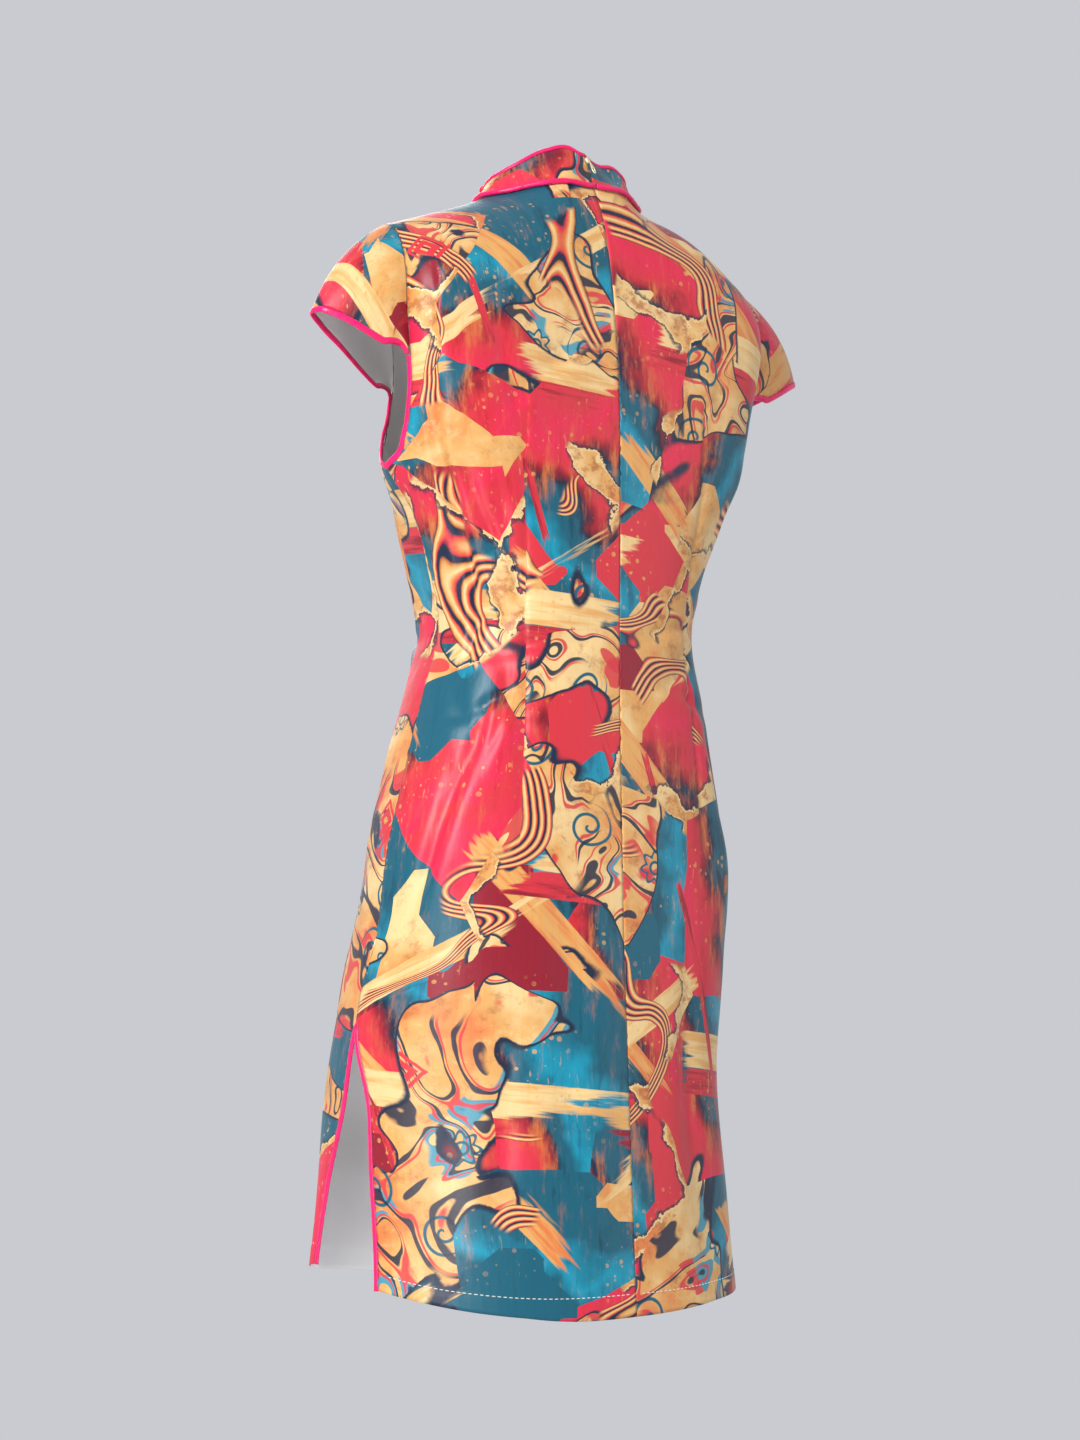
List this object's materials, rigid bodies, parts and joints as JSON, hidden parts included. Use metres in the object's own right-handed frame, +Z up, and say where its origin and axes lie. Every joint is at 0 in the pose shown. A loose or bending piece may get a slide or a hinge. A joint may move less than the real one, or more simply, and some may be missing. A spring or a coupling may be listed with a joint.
{
  "type": "cheongsam dress",
  "caption": "Knee-length fitted satin dress with a stand collar, short cap sleeves, side slits, contrast bound edges and a zip down the back.",
  "frame": {"origin": "middle of the neck opening, level with the shoulder end of the collar seam, where the wearer's shoulders hold the dress up", "axes": "+Z up the body, -Y the way the wearer faces, +X the wearer's left"},
  "size_m": [0.472, 0.2617, 0.9267],
  "materials": {
    "printed_satin": "satin",
    "pink_satin": "satin",
    "zip_metal": "satin"
  },
  "bodies": {
    "dress": {"back_left": "printed_satin", "back_right": "printed_satin", "front": "printed_satin", "sleeve_left": "printed_satin", "collar_left": "printed_satin", "sleeve_right": "printed_satin", "collar_right": "printed_satin", "sleeve_binding_left": "pink_satin", "armhole_binding_left": "pink_satin", "slit_binding_back_left": "pink_satin", "slit_binding_front_left": "pink_satin", "collar_binding_left": "pink_satin", "neck_piping_left": "pink_satin", "sleeve_binding_right": "pink_satin", "armhole_binding_right": "pink_satin", "slit_binding_back_right": "pink_satin", "slit_binding_front_right": "pink_satin", "collar_binding_right": "pink_satin", "neck_piping_right": "pink_satin", "zip_slider": "zip_metal", "knot_button": "pink_satin"},
    "zip_pull": {"zip_pull": "zip_metal"}
  },
  "joints": [
    {"name": "zip_pull_swing", "type": "hinge", "parent": "dress", "child": "zip_pull", "pos_m": [0, 0.03886, 0.02425], "axis": [0.9816, 0.0801, -0.1732], "range_deg": [0, 150]}
  ]
}
